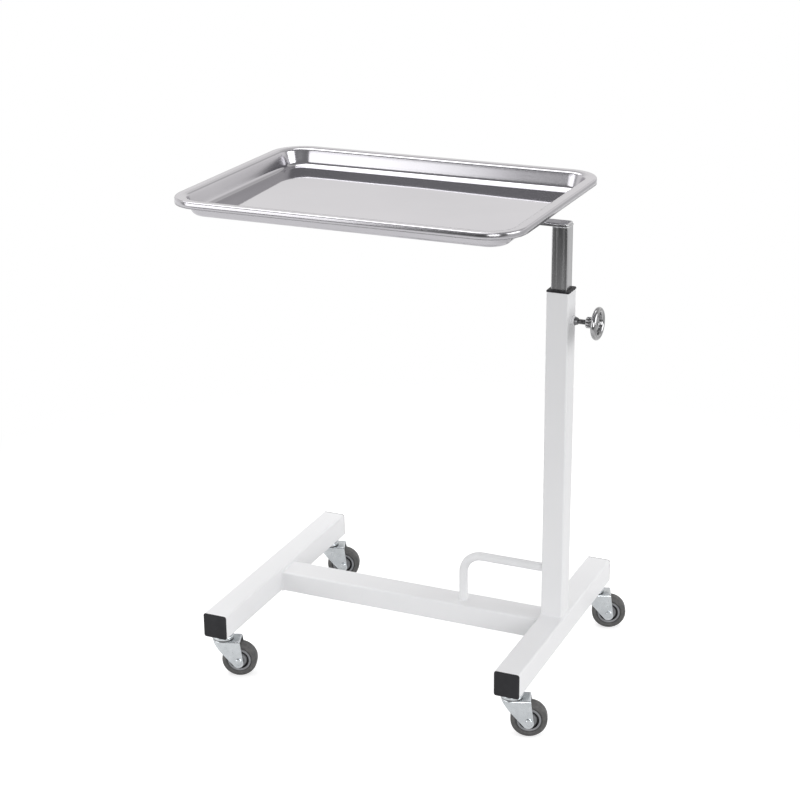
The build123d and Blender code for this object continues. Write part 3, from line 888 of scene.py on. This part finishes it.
# %% Helper for a weld bead
bead_random = random.Random(7)
ripple_height, ripple_pace, ripple_chance = 0.12, 0.9, 0.06
bead_corner_steps, least_side_steps = 12, 4
cord_sides = 10
cord_angles = [2 * math.pi * i / cord_sides for i in range(cord_sides)]


def weld_bead(name, place, way, half_x, half_y, corner, thickness, material, slot_name, body):
    """A rippled bead round a tube's end, flat to the way it faces."""
    plan = rounded_plan(half_x, half_y, corner, bead_corner_steps, max(least_side_steps, int(half_x)))
    count = len(plan)
    rings = []
    for k, (x, y) in enumerate(plan):
        swell = 1 + ripple_height * math.sin(ripple_pace * k)
        size = thickness * (swell + bead_random.uniform(-ripple_chance, ripple_chance))
        (ax, ay), (bx, by) = plan[k - 1], plan[(k + 1) % count]
        length = math.hypot(bx - ax, by - ay) or 1.0
        out_x, out_y = (by - ay) / length * size, (ax - bx) / length * size
        rings.append(
            [
                ((x + out_x * math.cos(a)) * MM, (y + out_y * math.cos(a)) * MM, size * math.sin(a) * MM)
                for a in cord_angles
            ]
        )
    points, faces = joined_rings(rings, closed_way=True)
    facing_way = Vector(way).to_track_quat("Z", "Y").to_matrix().to_4x4()
    new_piece(name, points, faces, material, slot_name, body, (), Matrix.Translation(place) @ facing_way)


print("a bead has", cord_sides, "sides")

# %% Lay the weld beads
beam_low, beam_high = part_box("cross_beam")
post_low, post_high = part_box("post")
loop_low, loop_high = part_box("foot_loop")
tube_low, tube_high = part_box("inner_tube")
beam_middle, post_middle = (beam_low + beam_high) / 2, (post_low + post_high) / 2
tube_middle = (tube_low + tube_high) / 2
loop_radius = 7.0
beam_left = (beam_low.x, beam_middle.y, beam_middle.z)
beam_right = (beam_high.x, beam_middle.y, beam_middle.z)
post_foot = (post_middle.x, post_middle.y, post_low.z)
loop_foot = (loop_low.x + loop_radius * MM, beam_middle.y, beam_high.z)
loop_end = (post_low.x, beam_middle.y, loop_high.z - loop_radius * MM)
boss_foot = (clamp_low.x, clamp_line.y, clamp_line.z)
arm_joint = (tube_middle.x, tube_middle.y, tube_high.z)
painted = (white_paint, "white_paint", "base")
bare = (drawn_steel, "polished_tube", "mast")
to_right, to_left, to_top = (1, 0, 0), (-1, 0, 0), (0, 0, 1)
beads = [
    ("beam_weld_left", beam_left, to_right, 24.0, 17.0, 3.0, 1.7, *painted),
    ("beam_weld_right", beam_right, to_left, 24.0, 17.0, 3.0, 1.7, *painted),
    ("post_weld", post_foot, to_top, 17.5, 17.5, 3.0, 1.3, *painted),
    ("loop_weld_beam", loop_foot, to_top, loop_radius, loop_radius, 6.9, 1.1, *painted),
    ("loop_weld_post", loop_end, to_right, loop_radius, loop_radius, 6.9, 1.1, *painted),
    ("boss_weld", boss_foot, to_right, 7.0, 7.0, 6.9, 0.9, *painted),
    ("arm_weld", arm_joint, to_top, 12.5, 12.5, 2.0, 0.9, *bare),
]
for bead in beads:
    weld_bead(*bead)
print("laid", len(beads), "weld beads")

# %% [markdown]
# ## Caster race rings and ball cages
# A caster's upper race is pressed with a round edge, which shows as a bright ring under the leg. Below it a
# dark ring stands for the balls and swivels with the fork. It reaches out to the race's edge and is dark
# steel, so that it paints the shade in the gap between the races. Both are round, so they are spun like the
# wheels.

# %% Add the race rings and the dark ball rings of painted shade
race_drop, ball_shade_drop = 5.5 * MM, 3.2 * MM
race_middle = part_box("left_leg")[0].z - race_drop
race_radius, race_edge = 15.0, 2.25
race_steps, edge_steps = 64, 24
race_section = arc(race_radius, 0.0, race_edge, 0, 360, edge_steps)[:-1]
# The ball ring reaches out to the race's edge in dark steel: it paints the shade between the races.
ball_shade_section = [(9.0, -0.6), (15.5, -0.6), (16.6, -1.0), (17.1, -0.3)]
ball_shade_section += [(17.1, 0.3), (16.6, 0.9), (15.5, 0.6), (9.0, 0.6)]
for name in wheel_names:
    low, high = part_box(name + "_stem")
    swivel = ((low.x + high.x) / 2, (low.y + high.y) / 2)
    points, faces = joined_rings(turned_rings(race_section, race_steps), closed_way=True)
    race_place = Matrix.Translation((*swivel, race_middle))
    new_piece(name + "_race_ring", points, faces, zinc_plate, "zinc_plate", "base", (), race_place)
    points, faces = joined_rings(turned_rings(ball_shade_section, race_steps), closed_way=True)
    ball_shade_place = Matrix.Translation((*swivel, race_middle - ball_shade_drop))
    ball_shade_piece, fork, old = name + "_ball_cage", name + "_fork", [name + "_ball_ring"]
    new_piece(ball_shade_piece, points, faces, dark_steel, "zinc_plate", fork, old, ball_shade_place)
print("added", len(wheel_names), "race rings and as many cages")

# %% [markdown]
# ## Soft edges
#
# Moulded caps, the guide bush and the mast's arm have no sharp edges, so a bevel softens the frame's own
# pieces, as a modifier that leaves their meshes alone.

# %% Soften the edges
soft_edges = {"post_bush": 0.5, "mast_arm": 0.6}
soft_edges.update({name + "_cap": 0.7 for name in wheel_names})
for name, width in soft_edges.items():
    bevel = cad_nodes[name].modifiers.new("soft_edge", "BEVEL")
    bevel.width = width * MM
    bevel.segments = 3
    bevel.limit_method = "ANGLE"
    bevel.angle_limit = math.radians(35)
    bevel.harden_normals = True
print("bevelled", len(soft_edges), "pieces")
